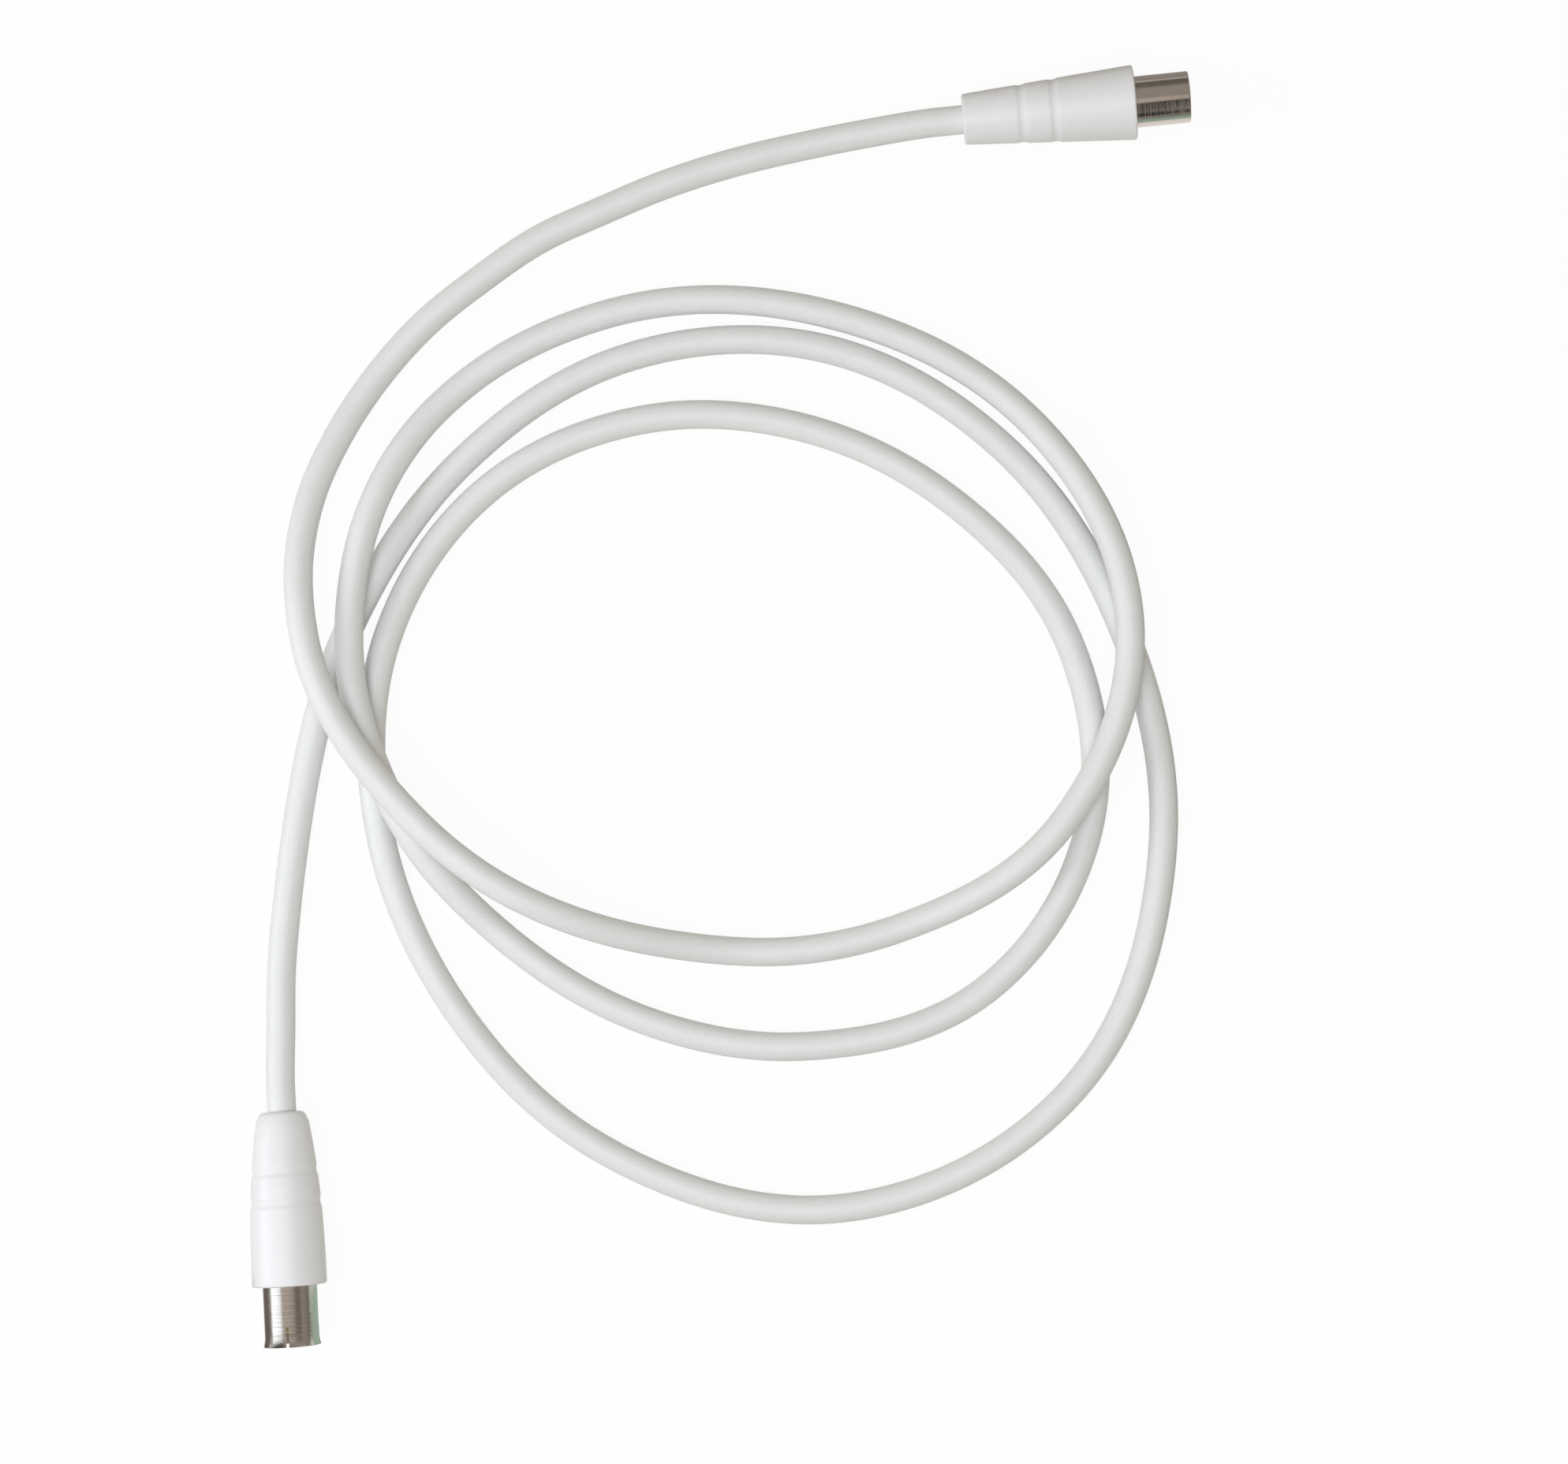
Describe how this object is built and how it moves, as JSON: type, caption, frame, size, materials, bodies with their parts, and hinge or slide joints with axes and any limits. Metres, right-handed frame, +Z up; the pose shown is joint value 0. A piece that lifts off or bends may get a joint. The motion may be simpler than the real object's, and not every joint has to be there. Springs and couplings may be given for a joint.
{
  "type": "aerial lead",
  "caption": "Coaxial aerial lead lying in a loose coil, with a moulded push-on plug on one end and a moulded push-on socket on the other.",
  "frame": {"origin": "on the surface that the lead lies on, under the middle of the box round the plug and the socket", "axes": "+Z up, square to the surface; +Y from the socket's end of the lead towards the plug's end, as the lead lies; +X completes the right-handed frame"},
  "size_m": [0.1766, 0.2404, 0.0167],
  "materials": {
    "body_white": "smooth moulded white plastic, slightly glossy",
    "jacket_white": "extruded white jacket, satin",
    "plated_metal": "nickel plating, bright",
    "insulator_plastic": "natural moulded plastic",
    "natural_plastic": "natural moulded plastic, unseen",
    "contact_brass": "brass with nickel plating",
    "tinned_metal": "tinned brass, unseen",
    "solder": "soft solder, unseen",
    "braid": "fine braided wire, unseen",
    "foam_dielectric": "white foamed insulation, unseen",
    "copper": "bare copper wire, unseen"
  },
  "bodies": {
    "root": {"male_overmould": "body_white", "male_inner_mould": "natural_plastic", "male_shell": "plated_metal", "male_insulator": "insulator_plastic", "male_centre_pin": "contact_brass", "male_crimp_ferrule": "tinned_metal", "male_solder_joint": "solder", "female_overmould": "body_white", "female_inner_mould": "natural_plastic", "female_shell": "plated_metal", "female_insulator": "insulator_plastic", "female_centre_socket": "contact_brass", "female_crimp_ferrule": "tinned_metal", "female_solder_joint": "solder", "jacket_male_tail": "jacket_white", "jacket_coil": "jacket_white", "jacket_female_tail": "jacket_white", "shield_braid": "braid", "dielectric": "foam_dielectric", "centre_conductor": "copper"}
  },
  "joints": []
}
